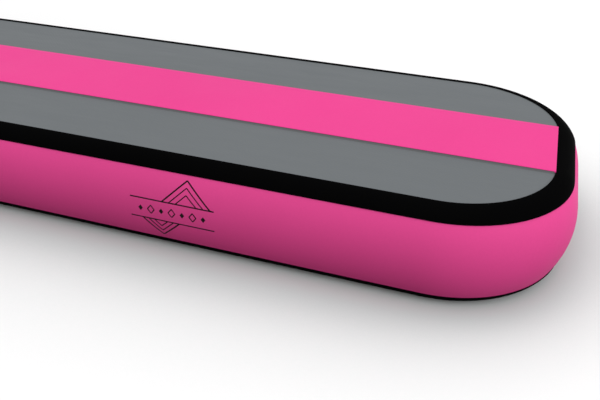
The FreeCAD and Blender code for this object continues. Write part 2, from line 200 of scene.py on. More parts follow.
border_line = outline(0.0)
steps_along = np.linalg.norm(np.roll(border_line, -1, axis=0) - border_line, axis=1)
along_border = np.concatenate([[0.0], np.cumsum(steps_along)[:-1]])
perimeter = float(steps_along.sum())

# how many waves of unevenness fit round the mat, and how far they lean, in radians per metre
waves_round = (9, 14, 23, 37, 55, 71)
most_lean = 40.0


def unevenness(along, across, size, seed):
    """Slow, seamless unevenness of blown-up cloth, from a few waves round the outline."""
    random = np.random.default_rng(seed)
    height = np.zeros_like(along)
    for turns in waves_round:
        phase, lean = random.uniform(0, 2 * math.pi), random.uniform(-most_lean, most_lean)
        wave = np.sin(2 * math.pi * turns * along / perimeter + lean * across + phase)
        height += wave * 3.0 / (3.0 + turns / 9)
    return size * height / 3.0


def round_mat(name, path, around=True, wave=0.0, seed=1):
    """Carries a path of (outward distance, height) round the mat. Waves push along its normal."""
    path = np.asarray(path, float)
    across = np.concatenate([[0.0], np.cumsum(np.linalg.norm(np.diff(path, axis=0), axis=1))])
    ahead = np.roll(path, -1, axis=0) - np.roll(path, 1, axis=0)
    normal = np.stack([ahead[:, 1], -ahead[:, 0]], axis=1)
    normal /= np.maximum(np.linalg.norm(normal, axis=1, keepdims=True), 1e-9)
    rings, flow = [], []
    for (out, height), (push_out, push_up), rise in zip(path, normal, across):
        line = outline(out)
        ring = np.column_stack([line, np.full(len(line), height)])
        if wave:
            lift = unevenness(along_border, np.full(len(line), height), wave, seed)
            angle = stations[:, 2]
            push = [push_out * np.cos(angle), push_out * np.sin(angle), np.full(len(line), push_up)]
            ring += lift[:, None] * np.column_stack(push)
        rings.append(ring)
        flow.append(np.column_stack([along_border, np.full(len(line), rise), np.zeros(len(line))]))
    return loft(name, rings, around=around, flow=flow)


def arc_path(start, end, depth, step):
    count = max(2, math.ceil(abs(end - start) / step))
    return [section_point(start + (end - start) * k / count, depth) for k in range(count + 1)]


def layer_path(start, end, outer, inner, step=2.5, inner_step=6.0, rim=0.3 * MM):
    """The closed path round a layer's section, with its two rims rounded on the outer side."""
    mean_radius = (shoulder_radius + side_radius) / 2
    lean = math.degrees(rim / (shoulder_radius if start < shoulder_turn else mean_radius))
    top = [section_point(start, outer + rim), section_point(start + 0.3 * lean, outer + 0.3 * rim)]
    bottom = [section_point(end - 0.3 * lean, outer + 0.3 * rim), section_point(end, outer + rim)]
    return (top + arc_path(start + lean, end - lean, outer, step) + bottom
            + arc_path(end, start, inner, inner_step))


def mirrored(path):
    """The same path upside down, about the mat's mid height."""
    return [(out, mat_height - height) for out, height in path][::-1]


# ---- materials ----
def new_material(name, roughness, specular=0.5):
    material = bpy.data.materials.new(name)
    material.use_nodes = True
    shader = material.node_tree.nodes["Principled BSDF"]
    shader.inputs["Roughness"].default_value = roughness
    shader.inputs["Specular IOR Level"].default_value = specular
    return material, material.node_tree, shader


def add_node(tree, kind, inputs=None, **settings):
    node = tree.nodes.new(kind)
    for key, value in settings.items():
        setattr(node, key, value)
    for key, value in (inputs or {}).items():
        if isinstance(value, bpy.types.NodeSocket):
            tree.links.new(value, node.inputs[key])
        else:
            node.inputs[key].default_value = value
    return node


def math_node(tree, operation, a, b=0.0, c=0.0):
    return add_node(tree, "ShaderNodeMath", {0: a, 1: b, 2: c}, operation=operation).outputs[0]


def times(tree, value, factor):
    return math_node(tree, "MULTIPLY", value, factor)


def place(tree):
    return add_node(tree, "ShaderNodeTexCoord").outputs["Object"]


def stretched(tree, scale):
    inputs = {"Vector": place(tree), "Scale": scale}
    return add_node(tree, "ShaderNodeMapping", inputs).outputs["Vector"]


def noise(tree, vector, per_metre, detail=3.0, rough=0.55):
    inputs = {"Vector": vector, "Scale": per_metre, "Detail": detail, "Roughness": rough}
    return add_node(tree, "ShaderNodeTexNoise", inputs).outputs["Fac"]


def between(tree, value, low, high, from_low=0.3, from_high=0.7):
    """Maps a noise's useful range to low..high."""
    inputs = {"Value": value, "From Min": from_low, "From Max": from_high,
              "To Min": low, "To Max": high}
    return add_node(tree, "ShaderNodeMapRange", inputs).outputs["Result"]


def shaded(colour, factor):
    return tuple(c * factor for c in colour) + (1.0,)


def mottled(tree, shader, colour, spread, per_metre=7.0):
    """Colour that drifts a little over the surface, slow patches and fine flecks together."""
    slow = noise(tree, place(tree), per_metre, 4.0)
    fine = noise(tree, place(tree), per_metre * 60, 2.0)
    slow, fine = times(tree, slow, 0.65), times(tree, fine, 0.35)
    both = math_node(tree, "ADD", slow, fine)
    share = between(tree, both, 0.0, 1.0)
    mix = add_node(tree, "ShaderNodeMix", {"Factor": share}, data_type="RGBA")
    mix.inputs[6].default_value = shaded(colour, 1.0 - spread)
    mix.inputs[7].default_value = shaded(colour, 1.0 + spread)
    tree.links.new(mix.outputs[2], shader.inputs["Base Color"])


def bump(tree, shader, height, depth):
    node = add_node(tree, "ShaderNodeBump", {"Height": height, "Distance": depth, "Strength": 1.0})
    tree.links.new(node.outputs["Normal"], shader.inputs["Normal"])


def fine_grain(tree, per_metre):
    return add_node(tree, "ShaderNodeTexVoronoi", {"Vector": place(tree), "Scale": per_metre},
                    feature="SMOOTH_F1").outputs["Distance"]


def split(tree, vector):
    parts = add_node(tree, "ShaderNodeSeparateXYZ", {"Vector": vector}).outputs
    return parts["X"], parts["Y"]


def ridged(tree, value):
    return math_node(tree, "ABSOLUTE", math_node(tree, "SINE", value))


def weave_height(tree, pitch, lean=0.0):
    """Over-and-under threads along and across the cloth, from 0 to 1."""
    flow = add_node(tree, "ShaderNodeAttribute", attribute_name="flow").outputs["Vector"]
    x, y = split(tree, flow)
    along, across = times(tree, x, math.pi / pitch), times(tree, y, math.pi / pitch)
    if lean:
        along = math_node(tree, "MULTIPLY_ADD", y, lean * math.pi / pitch, along)
    return math_node(tree, "MAXIMUM", ridged(tree, along), ridged(tree, across))


def coated_cloth(name, colour, roughness=0.45, specular=0.35, spread=0.03, weave=0.9 * MM,
                 weave_depth=0.03 * MM, grain_depth=0.03 * MM, rough_spread=0.06):
    """PVC-coated cloth: a fine leathery grain over the faint print of its scrim."""
    material, tree, shader = new_material(name, roughness, specular)
    mottled(tree, shader, colour, spread)
    cloud = noise(tree, place(tree), 11.0, 4.0)
    rough = between(tree, cloud, roughness - rough_spread, roughness + rough_spread)
    tree.links.new(rough, shader.inputs["Roughness"])
    threads = times(tree, weave_height(tree, weave), weave_depth / grain_depth)
    bump(tree, shader, math_node(tree, "ADD", fine_grain(tree, 1600.0), threads), grain_depth)
    return material


def drop_stitch_cloth(name, colour):
    """The flat's cloth: dimples at the stitches in staggered rows, fine grain and faint scuffs."""
    material, tree, shader = new_material(name, 0.5, 0.10)
    mottled(tree, shader, colour, 0.02)
    pitch = 5.0 * MM
    along, across = [math_node(tree, "COSINE", times(tree, v, 2 * math.pi / pitch))
                     for v in split(tree, place(tree))]
    dimples = times(tree, times(tree, along, across), 0.5)
    bump(tree, shader, math_node(tree, "ADD", dimples, fine_grain(tree, 1400.0)), 0.045 * MM)
    scuffs = noise(tree, stretched(tree, (1.0, 6.0, 6.0)), 9.0, 6.0, 0.7)
    tree.links.new(between(tree, scuffs, 0.44, 0.58, 0.35, 0.65), shader.inputs["Roughness"])
    return material


def webbing_cloth(name, colour):
    material, tree, shader = new_material(name, 0.75, 0.25)
    mottled(tree, shader, colour, 0.12, 40.0)
    shader.inputs["Sheen Weight"].default_value = 0.15
    shader.inputs["Sheen Roughness"].default_value = 0.5
    bump(tree, shader, weave_height(tree, 1.3 * MM, 1.0), 0.25 * MM)
    return material


def moulded_plastic(name, colour, roughness=0.35, grain=900.0, depth=0.02 * MM, specular=0.45):
    material, tree, shader = new_material(name, roughness, specular)
    mottled(tree, shader, colour, 0.05, 25.0)
    rough = between(tree, noise(tree, place(tree), 90.0), roughness - 0.05, roughness + 0.07)
    tree.links.new(rough, shader.inputs["Roughness"])
    bump(tree, shader, noise(tree, place(tree), grain, 2.0), depth)
    return material


def brushed_metal(name, colour):
    material, tree, shader = new_material(name, 0.3)
    shader.inputs["Metallic"].default_value = 1.0
    mottled(tree, shader, colour, 0.04, 60.0)
    lines = noise(tree, stretched(tree, (1.0, 1.0, 12.0)), 700.0, 3.0)
    tree.links.new(between(tree, lines, 0.22, 0.4), shader.inputs["Roughness"])
    bump(tree, shader, lines, 0.01 * MM)
    return material


def studded_rubber(name, colour):
    """Non-slip underside: low diamond studs."""
    material, tree, shader = new_material(name, 0.7, 0.3)
    mottled(tree, shader, colour, 0.08, 20.0)
    pitch = 6.0 * MM
    x, y = split(tree, place(tree))
    diagonals = [math_node(tree, operation, x, y) for operation in ("ADD", "SUBTRACT")]
    ridges = [ridged(tree, times(tree, v, math.pi / pitch)) for v in diagonals]
    bump(tree, shader, math_node(tree, "SMOOTH_MIN", *ridges, 0.2), 0.4 * MM)
    return material


pink = (0.888, 0.0808, 0.3235)
stripe_pink = (0.762, 0.0465, 0.257)
grey = (0.134, 0.1455, 0.153)
black = (0.0015, 0.0015, 0.0016)
soft_black = (0.010, 0.010, 0.011)

grey_cloth = drop_stitch_cloth("grey_drop_stitch", grey)
# a little darker than the flat's grey: painted shade along the stripe's edges
weld_cloth_painted_shade = coated_cloth("grey_weld_painted_shade", (0.118, 0.122, 0.126), specular=0.08)
wall_cloth = coated_cloth("pink_wall_cloth", pink, roughness=0.5, specular=0.03)
stripe_cloth = coated_cloth("pink_stripe_cloth", stripe_pink, roughness=0.5, specular=0.08)
band_cloth = coated_cloth("black_band_cloth", black, roughness=0.6, specular=0.003, spread=0.15)
liner_cloth = coated_cloth("grey_liner_cloth", (0.26, 0.26, 0.27), weave=1.6 * MM,
                           weave_depth=0.08 * MM)
tape_cloth = coated_cloth("grey_tape_cloth", (0.13, 0.14, 0.15))
under_cloth = drop_stitch_cloth("dark_drop_stitch", (0.07, 0.075, 0.08))
grip_rubber = studded_rubber("studded_grip_sheet", (0.012, 0.012, 0.013))
patch_cloth = coated_cloth("black_patch_cloth", soft_black, roughness=0.5, specular=0.2,
                           spread=0.15)
ink = coated_cloth("black_ink", (0.006, 0.003, 0.004), roughness=0.55, specular=0.1, spread=0.1)
strap_webbing = webbing_cloth("black_webbing", soft_black)
thread = webbing_cloth("black_thread", (0.030, 0.030, 0.033))
foam = moulded_plastic("foam_grip", (0.012, 0.012, 0.013), 0.8, 500.0, 0.15 * MM, 0.25)
black_plastic = moulded_plastic("black_nylon", soft_black)
white_plastic = moulded_plastic("white_acetal", (0.62, 0.62, 0.59))
rubber = moulded_plastic("soft_rubber", (0.009, 0.009, 0.009), 0.65, 1200.0, 0.03 * MM, 0.3)
steel = brushed_metal("spring_steel", (0.62, 0.61, 0.58))
yarn_cloth = moulded_plastic("spacer_yarn", (0.72, 0.70, 0.65), 0.8, 2500.0, 0.1 * MM, 0.2)


# ---- skins, wall and bands ----
# stations in from the flat's border to the mat's middle line, in millimetres
flat_insets = (0.0, 6.0, 14.0, 24.0, 36.0, 50.0, 64.0, 78.0, 90.0, 97.0, 104.0, 116.0, 128.0, 136.5)


def skin_path():
    """From the flat's middle out over the border, down the shoulder, round the rim and back."""
    top, under = mat_height - skin_depth, mat_height - air_depth
    inward = [(-inset * MM, top) for inset in flat_insets[::-1]]
    back = [(-inset * MM, under) for inset in flat_insets]
    outer = arc_path(0.0, skin_wrap_turn, skin_depth, 4.0)[1:]
    inner = arc_path(skin_wrap_turn, 0.0, air_depth, 8.0)[:-1]
    return inward + outer + inner + back


def make_skins():
    top = round_mat("top_skin_cloth", skin_path(), around=False)
    finish_piece(top, grey_cloth, nodes=["top_skin"])
    bottom = round_mat("bottom_skin_cloth", mirrored(skin_path()), around=False)
    finish_piece(bottom, under_cloth, nodes=["bottom_skin"])
    low = [(-inset * MM, 0.0) for inset in flat_insets[::-1]]
    high = [(-inset * MM, band_thickness) for inset in flat_insets]
    rim = [(-glue_gap, 0.0), (-glue_gap, band_thickness)]
    sheet = round_mat("grip_sheet", low[:-1] + rim + high[1:], around=False)
    finish_piece(sheet, grip_rubber, nodes=["bottom_grip_sheet"])
    return top, bottom, sheet


def pierced(piece):
    """The piece with a round hole through it for the valve's barrel."""
    radius = 15.2 * MM
    circle = [(radius * math.cos(a), mid_height + radius * math.sin(a))
              for a in np.linspace(0, 2 * math.pi, 64, endpoint=False)]
    cutter = loft("barrel_cutter", [[(-wall_x + x, y, z) for y, z in circle]
                                    for x in (-8 * MM, 12 * MM)])
    cut = piece.modifiers.new("hole", "BOOLEAN")
    cut.operation, cut.solver, cut.object = "DIFFERENCE", "EXACT", cutter
    evaluated = piece.evaluated_get(bpy.context.evaluated_depsgraph_get())
    shape = bpy.data.meshes.new_from_object(evaluated)
    piece.modifiers.clear()
    piece.data = shape
    bpy.data.objects.remove(cutter)
    return piece


def make_wall():
    """One panel right round; the joint strips cover where its ends and the valve's panel meet."""
    path = layer_path(wall_turn, 180.0 - wall_turn, skin_depth, air_depth, step=2.0)
    wall = pierced(round_mat("wall_cloth", path, wave=0.12 * MM, seed=3))
    finish_piece(wall, wall_cloth, nodes=["sidewall", "valve_end_wall"])
    path = layer_path(liner_turn, 180.0 - liner_turn, liner_depth, liner_depth + liner_thickness,
                      step=6.0)
    liner = pierced(round_mat("wall_liner_cloth", path))
    finish_piece(liner, liner_cloth, nodes=["sidewall_liner"])
    return wall, liner


def make_bands():
    path = layer_path(0.0, shoulder_turn, 0.0, band_thickness, step=2.5)
    top = round_mat("top_band_cloth", path, wave=0.05 * MM, seed=7)
    finish_piece(top, band_cloth, nodes=["top_edge_band"])
    bottom = round_mat("bottom_band_cloth", mirrored(path))
    finish_piece(bottom, band_cloth, nodes=["bottom_edge_band"])
    tapes = []
    path = layer_path(*tape_turns, tape_depth, tape_depth + tape_thickness, step=8.0)
    for name, line, node in (("top_tape_cloth", path, "top_seam_tape"),
                             ("bottom_tape_cloth", mirrored(path), "bottom_seam_tape")):
        tapes.append(finish_piece(round_mat(name, line), tape_cloth, nodes=[node]))
    return top, bottom, tapes


stripe_end_gap = 1.0 * MM
end_step = 0.02 * MM


def make_stripe():
    """A raised strip with square ends that lap onto the bands' edges."""
    low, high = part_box("centre_stripe")
    edge = 0.3 * MM
    half = high.y
    side = [(half, low.z), (half, high.z - edge)]
    side += [(half - edge * (1 - math.cos(a)), high.z - edge * (1 - math.sin(a)))
             for a in (math.pi / 6, math.pi / 3, math.pi / 2)]
    across = [(half - edge - (2 * (half - edge)) * k / 16, high.z) for k in range(1, 16)]
    profile = side + across + [(-y, z) for y, z in side[::-1]]
    profile += [(-half + 2 * half * k / 8, low.z) for k in range(1, 8)]
    profile = np.array(profile)
    lapping = np.column_stack([profile[:, 0], np.maximum(profile[:, 1], mat_height + glue_gap)])
    inner = border.x - stripe_end_gap
    steps = 200
    sections = [(inner - 2 * inner * k / steps, profile) for k in range(steps + 1)]
    is_top = profile[:, 1:] > mat_height + 0.5 * MM
    ends = [(high.x - at * MM, lapping - [0, drop * MM] * is_top)
            for at, drop in ((0.0, 0.25), (0.1, 0.08), (0.3, 0.0))]
    ends.append((inner + end_step, lapping))
    sections = ends + sections + [(-x, section) for x, section in ends[::-1]]
    rings = [np.column_stack([np.full(len(profile), x), section]) for x, section in sections]
    flow = [np.column_stack([np.full(len(profile), x), profile[:, 0], np.zeros(len(profile))])
            for x, _ in sections]
    stripe = loft("stripe_cloth", rings, flow=flow)
    finish_piece(stripe, stripe_cloth, nodes=["centre_stripe"])
    return stripe


def make_stripe_welds():
    """Small hollow fillets where the grey cloth is drawn up against the stripe's long sides,
    coloured a little darker than the flat's grey as painted shade along the stripe's edges.
    """
    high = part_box("centre_stripe")[1]
    rise, run, lap = high.z - 0.45 * MM - grey_top, 1.9 * MM, 0.1 * MM
    curve = [(run * (1 - math.sin(a)), rise * (1 - math.cos(a)))
             for a in np.linspace(0, math.pi / 2, 7)]
    profile = [(-lap, -lap), (run, -lap)] + curve + [(-lap, rise)]
    length = border.x - 1.2 * MM
    ends = [length - at * MM for at in (0.0, 0.4, 0.8, 2.0)]
    inner = ends[-1] - end_step
    xs = [-x for x in ends] + list(np.linspace(-inner, inner, 120)) + ends[::-1]
    for word, side in (("near", -1), ("far", 1)):
        rings, flow = [], []
        for x in xs:
            taper = min(1.0, (0.4 * MM + length - abs(x)) / (1.2 * MM))
            rings.append([(x, side * (high.y + y * taper), grey_top + z * taper)
                          for y, z in profile])
            flow.append([(x, y + z, 0.0) for y, z in profile])
        weld = loft(f"stripe_weld_{word}", rings, flow=flow, sharp=60.0)
        finish_piece(weld, weld_cloth_painted_shade)


# ---- cloth laid on the long walls ----
def on_wall(x, up, rise, side):
    """A point on a long wall: up runs along its arc from mid height, rise points out of it."""
    out, height = section_point(90.0 - math.degrees(up / side_radius), -rise)
    return x, side * (border.y + out), height


def smooth(t):
    t = min(max(t, 0.0), 1.0)
    return t * t * (3 - 2 * t)


def edged(low, high, step, rim):
    """Stations from low to high, close together at both edges."""
    count = max(2, math.ceil((high - low - 2 * rim) / step))
    inner = [low + rim + (high - low - 2 * rim) * k / count for k in range(count + 1)]
    near = [low + rim * f for f in (0.0, 0.15, 0.5)]
    return near + inner + [high - rim * f for f in (0.5, 0.15, 0.0)]


def wall_patch(name, x_low, x_high, half, corner, top, under, side, step=2.5 * MM, rim=0.5 * MM):
    """A rounded rectangle of cloth on a long wall. top and under give its two rises at (x, up)."""
    turns = [corner * (1 - math.cos(math.radians(a))) for a in range(0, 90, 10)]
    xs = [x_low + t for t in turns] + edged(x_low + corner, x_high - corner, step, rim)
    xs += [x_high - t for t in turns[::-1]]
    rings, flow = [], []
    for x in xs:
        inset = max(corner - (x - x_low), corner - (x_high - x), 0.0)
        reach = half - corner + math.sqrt(max(corner ** 2 - inset ** 2, 0.0))
        ups = [u * reach / half for u in edged(-half, half, step, rim)]

        def lowered(up):
            gap = min(half - abs(up) * half / reach, x - x_low, x_high - x)
            near = 1.0 - min(max(gap / rim, 0.0), 1.0)
            return top(x, up) - 0.6 * rim * (1 - math.sqrt(1 - near ** 2))

        rings.append([on_wall(x, u, lowered(u), side) for u in ups]
                     + [on_wall(x, u, under(x, u), side) for u in ups[::-1]])
        flow.append([(x, u, 0.0) for u in ups + ups[::-1]])
    return loft(name, rings, flow=flow)


def make_joint_strips():
    """Strips over the butt joints between the wall's two panels."""
    low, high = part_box("wall_joint_strips")
    gap_turn = 0.4
    half = side_radius * math.radians(90.0 - shoulder_turn - gap_turn)
    for label, side in (("near", -1), ("far", 1)):
        strip = wall_patch(f"{label}_joint_strip", low.x, high.x, half, 1 * MM,
                           lambda x, up: 0.0, lambda x, up: -band_thickness, side)
        finish_piece(strip, wall_cloth, nodes=["wall_joint_strips"])


# ---- stitches ----
def make_stitches(name, runs, material, body, length=3.2 * MM, gap=1.0 * MM, thick=0.55 * MM):
    """Thread along runs of (point, outward normal): one short rounded stitch after another."""
    vertices, faces = [], []
    for run in runs:
        points = np.array([p for p, _ in run])
        normals = np.array([n for _, n in run])
        spans = np.linalg.norm(np.diff(points, axis=0), axis=1)
        at = np.concatenate([[0.0], np.cumsum(spans)])
        count = max(1, int(at[-1] / (length + gap)))
        pitch = at[-1] / count
        for k in range(count):
            stops = k * pitch + (pitch - gap) * np.array([0.0, 0.08, 0.3, 0.7, 0.92, 1.0]) + gap / 2
            middle = np.stack([np.interp(stops, at, points[:, i]) for i in range(3)], axis=1)
            up = np.stack([np.interp(stops, at, normals[:, i]) for i in range(3)], axis=1)
            ahead = middle[-1] - middle[0]
            ahead /= np.linalg.norm(ahead)
            first = len(vertices)
            for centre, out, size in zip(middle, up, (0.15, 0.6, 1.0, 1.0, 0.6, 0.15)):
                aside = np.cross(ahead, out)
                for j in range(6):
                    a = math.pi * j / 3
                    push = thick / 2 * size * (math.cos(a) * aside + math.sin(a) * out)
                    vertices.append(centre + out * thick * 0.2 * (size - 1) + push)
            for i in range(5):
                for j in range(6):
                    a, b = first + 6 * i + j, first + 6 * i + (j + 1) % 6
                    faces.append([a, b, b + 6, a + 6])
            faces.append([first + j for j in range(5, -1, -1)])
            faces.append([first + 30 + j for j in range(6)])
    piece = closed_piece(name, [tuple(v) for v in vertices], faces)
    piece.data.shade_smooth()
    finish_piece(piece, material, body)


def wall_normal(up, side):
    a = up / side_radius
    return 0.0, side * math.cos(a), math.sin(a)


# ---- carry handles ----
webbing_width, webbing_thickness = 30.0 * MM, 2.0 * MM
handle_reach = 38.0 * MM
slope = math.radians(50.0)
wall_bend_radius, grip_bend_radius = 30.0 * MM, 22.0 * MM
grip_flat_half = 52.0 * MM
anchored_length = 33.0 * MM
wall_line = webbing_thickness / 2 + glue_gap
bends_rise = (wall_bend_radius + grip_bend_radius) * (1 - math.cos(slope))
straight_rise = handle_reach - wall_line - bends_rise
straight_run = straight_rise / math.tan(slope)
bend_end = grip_flat_half + grip_bend_radius * math.sin(slope) + straight_run
anchor_x = bend_end + wall_bend_radius * math.sin(slope)
anchor_cloth = 0.9 * MM
anchor_lap, anchor_half = 4 * MM, 24 * MM
handle_patch_turn = 19.5


def webbing_line():
    """Half of the webbing's middle line, from the grip to its glued tail: (x, rise, tilt)."""
    line = [(grip_flat_half * k / 14, handle_reach, 0.0) for k in range(14)]
    for k in range(11):
        a = slope * k / 10
        line.append((grip_flat_half + grip_bend_radius * math.sin(a),
                     handle_reach - grip_bend_radius * (1 - math.cos(a)), a))
    x, rise, _ = line[-1]
    line += [(x + straight_run * k / 8, rise - straight_rise * k / 8, slope) for k in range(1, 8)]
    for k in range(15):
        a = slope * (1 - k / 14)
        line.append((anchor_x - wall_bend_radius * math.sin(a),
                     wall_line + wall_bend_radius * (1 - math.cos(a)), a))
    line += [(anchor_x + anchored_length * k / 16, wall_line, 0.0) for k in range(1, 17)]
    return line


def webbing_section():
    """(across, thickness) round the webbing: a little thicker along its two selvedges."""
    half = webbing_width / 2
    ups = [half * f for f in np.linspace(-0.93, 0.93, 25)]

    def depth(up):
        selvedge = math.exp(-((abs(up) - 0.88 * half) / (1.1 * MM)) ** 2)
        return webbing_thickness / 2 * (0.88 + 0.12 * selvedge)

    rim = [(half * 0.975, 0.75), (half, 0.0), (half * 0.975, -0.75)]
    right = [(up, f * webbing_thickness / 2) for up, f in rim]
    top = [(up, depth(up)) for up in ups]
    return top + right + [(up, -t) for up, t in top[::-1]] + [(-up, t) for up, t in right[::-1]]


def make_webbing(name, side, hand):
    """Half of a handle's webbing. It lies on the wall at its tail and stands off it at the grip."""
    section = webbing_section()
    rings, flow = [], []
    travelled, before = 0.0, None
    for x, rise, tilt in webbing_line():
        lying = smooth(1.0 - (anchor_x - x) / (14 * MM))
        travelled += math.dist((x, rise), before) if before else 0.0
        before = (x, rise)
        ring = []
        for up, t in section:
            px, pr = x + t * math.sin(tilt), rise + t * math.cos(tilt)
            flat = np.array((px, side * (wall_y + pr), mid_height + up))
            curved = np.array(on_wall(px, up, pr, side))
            ring.append((flat + (curved - flat) * lying) * [hand, 1, 1])
        rings.append(ring)
        flow.append([(travelled, up, 0.0) for up, _ in section])
    piece = loft(name, rings, flow=flow)
    finish_piece(piece, strap_webbing, body=None)
    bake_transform(piece)


def make_anchor(name, side, hand):
    """A cloth patch laid over the webbing's tail, with the webbing's shape showing through it."""
    node = "near_handle_anchors" if side < 0 else "far_handle_anchors"
    x_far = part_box(node)[1].x
    x_near = anchor_x + anchor_lap
    tail_end = anchor_x + anchored_length
    fall = 3.6 * MM

    def lift(x, up):
        across = 1.0 - smooth((abs(up) - 15.2 * MM) / fall)
        along = 1.0 - smooth((x - tail_end) / fall)
        return (webbing_thickness + glue_gap) * across * along

    def top(x, up):
        return glue_gap + anchor_cloth + lift(abs(x), up)

    def under(x, up):
        return glue_gap + lift(abs(x), up)

    low, high = sorted((hand * x_near, hand * x_far))
    patch = wall_patch(name, low, high, anchor_half, 6 * MM, top, under, side, step=1.2 * MM)
    return patch, top


def anchor_stitching(top, side, hand):
    """A box with a cross inside it, sewn through the patch and the webbing's tail."""
    x0, x1 = anchor_x + 7.5 * MM, anchor_x + 30.0 * MM
    u = 11.5 * MM
    corners = [(x0, -u), (x1, -u), (x1, u), (x0, u), (x0, -u)]
    lines = list(zip(corners, corners[1:])) + [(corners[0], corners[2]), (corners[1], corners[3])]
    runs = []
    for (xa, ua), (xb, ub) in lines:
        run = []
        for k in range(25):
            x, up = hand * (xa + (xb - xa) * k / 24), ua + (ub - ua) * k / 24
            run.append((on_wall(x, up, top(x, up) + 0.1 * MM, side), wall_normal(up, side)))
        runs.append(run)
    return runs


def grip_ring(reach_up, reach_out, power, count=40):
    """A squared-off oval as (up, out) pairs."""
    ring = []
    for k in range(count):
        a = 2 * math.pi * k / count
        c, s = math.cos(a), math.sin(a)
        ring.append((reach_up * math.copysign(abs(c) ** (2 / power), c),
                     reach_out * math.copysign(abs(s) ** (2 / power), s)))
    return ring


def make_grip(name, side):
    """The foam sleeve: fuller in the middle, drawn in at both ends, open along the webbing."""
    low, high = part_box("near_handle_grip")
    half, up_half, out_half = high.x, (high.z - low.z) / 2, (high.y - low.y) / 2
    roll, hem, ripple, power = 3.2 * MM, 9 * MM, 0.22 * MM, 3.2

    def at(x, up, out, lift=0.0):
        return x, side * (wall_y + handle_reach + out + lift), mid_height + up

    middle = [(-half + roll + (2 * half - 2 * roll) * k / 44, 0.0) for k in range(45)]
    closing = []
    for k in range(1, 8):
        a = math.pi / 2 * k / 7
        closing.append((half - roll + roll * math.sin(a), roll * (1 - math.cos(a))))
    rings, flow = [], []
    for x, draw in [(-x, draw) for x, draw in closing[::-1]] + middle + closing:
        stitched = math.exp(-((abs(x) - half + hem) / (1.8 * MM)) ** 2)
        swell = 1.0 - 0.10 * (abs(x) / half) ** 4 - 0.05 * stitched
        ring = []
        for up, out in grip_ring(up_half - draw, out_half * swell - draw, power):
            wave = ripple * math.sin(x * 310 + 2.2 * math.sin(up * 260))
            wave *= math.sin(up * 170 + x * 90 + side)
            ring.append(at(x, up, out, wave * (1 if out > 0 else -1)))
        rings.append(ring)
        flow.append([(x, y, 0.0) for _, y, _ in ring])
    slot_ring = grip_ring(15.3 * MM, 1.2 * MM, 6.0)
    for k in range(13):
        x = (half - 1.5 * MM) * (1 - k / 6)
        rings.append([at(x, up, out) for up, out in slot_ring])
        flow.append([(x, up, 0.0) for up, _ in slot_ring])
    grip = loft(name, rings, around=True, flow=flow)
    body = name.replace("_grip_cover", "")
    finish_piece(grip, foam, body=body, nodes=[f"{body}_grip"])
    ring = grip_ring(up_half + 0.05 * MM, out_half * 0.905 + 0.05 * MM, power, 72)
    runs = []
    for x in (-half + hem, half - hem):
        run = []
        for up, out in ring + ring[:1]:
            normal = np.array((0.0, side * out / out_half, up / up_half))
            run.append((at(x, up, out), normal / math.hypot(out / out_half, up / up_half)))
        runs.append(run)
    make_stitches(f"{body}_grip_thread", runs, thread, body)


def make_handle(label, side):
    body = f"{label}_handle"
    low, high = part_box(f"{body}_patch")
    half = side_radius * math.radians(handle_patch_turn)
    patch = wall_patch(f"{body}_patch_cloth", low.x, high.x, half, 12 * MM,
                       lambda x, up: 0.0, lambda x, up: -band_thickness, side, step=3 * MM)
    finish_piece(patch, patch_cloth, nodes=[f"{body}_patch"])
    runs = []
    for hand, word in ((1, "right"), (-1, "left")):
        make_webbing(f"{body}_webbing_{word}", side, hand)
        anchor, top = make_anchor(f"{body}_anchor_{word}", side, hand)
        finish_piece(anchor, patch_cloth, nodes=[f"{body}_anchors"])
        runs += anchor_stitching(top, side, hand)
    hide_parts(f"{body}_loop", f"{body}_webbing_ends")
    make_stitches(f"{body}_thread", runs, thread, "mat")
    make_grip(f"{body}_grip_cover", side)


# ---- valve's patch, cap strap and spring ----
def on_end(up, across, rise):
    """A point on the valve's end wall: up and across from the valve's middle, rise out of it."""
    turned = math.asin(up / side_radius)
    out = (side_radius + rise) * math.cos(turned) - side_radius
    return -wall_x - out, across, mid_height + (side_radius + rise) * math.sin(turned)


def make_valve_patch():
    """A welded round patch: its outer rim is thinned and a weld ring is pressed into it."""
    outer, inner = 36 * MM, 15.3 * MM
    groove, base = 32.4 * MM, -band_thickness + 0.05 * MM
    profile = [(inner, base), (inner, -0.25 * MM), (inner + 0.25 * MM, 0.0)]
    for r in np.arange(17.0, 35.2, 0.7) * MM:
        profile.append((r, -0.22 * MM * math.exp(-((r - groove) / (0.9 * MM)) ** 2)))
    profile += [(outer - 0.4 * MM, -0.02 * MM), (outer - 0.1 * MM, -0.15 * MM), (outer, -0.4 * MM),
                (outer, base), (26 * MM, base)]
    rings, flow = [], []
    for a in np.linspace(0, 2 * math.pi, 96, endpoint=False):
        c, s = math.cos(a), math.sin(a)
        rings.append([on_end(r * s, r * c, rise) for r, rise in profile])
        flow.append([(r * c, r * s, 0.0) for r, _ in profile])
    patch = loft("valve_patch_cloth", rings, around=True, flow=flow)
    finish_piece(patch, patch_cloth, nodes=["valve_patch"])


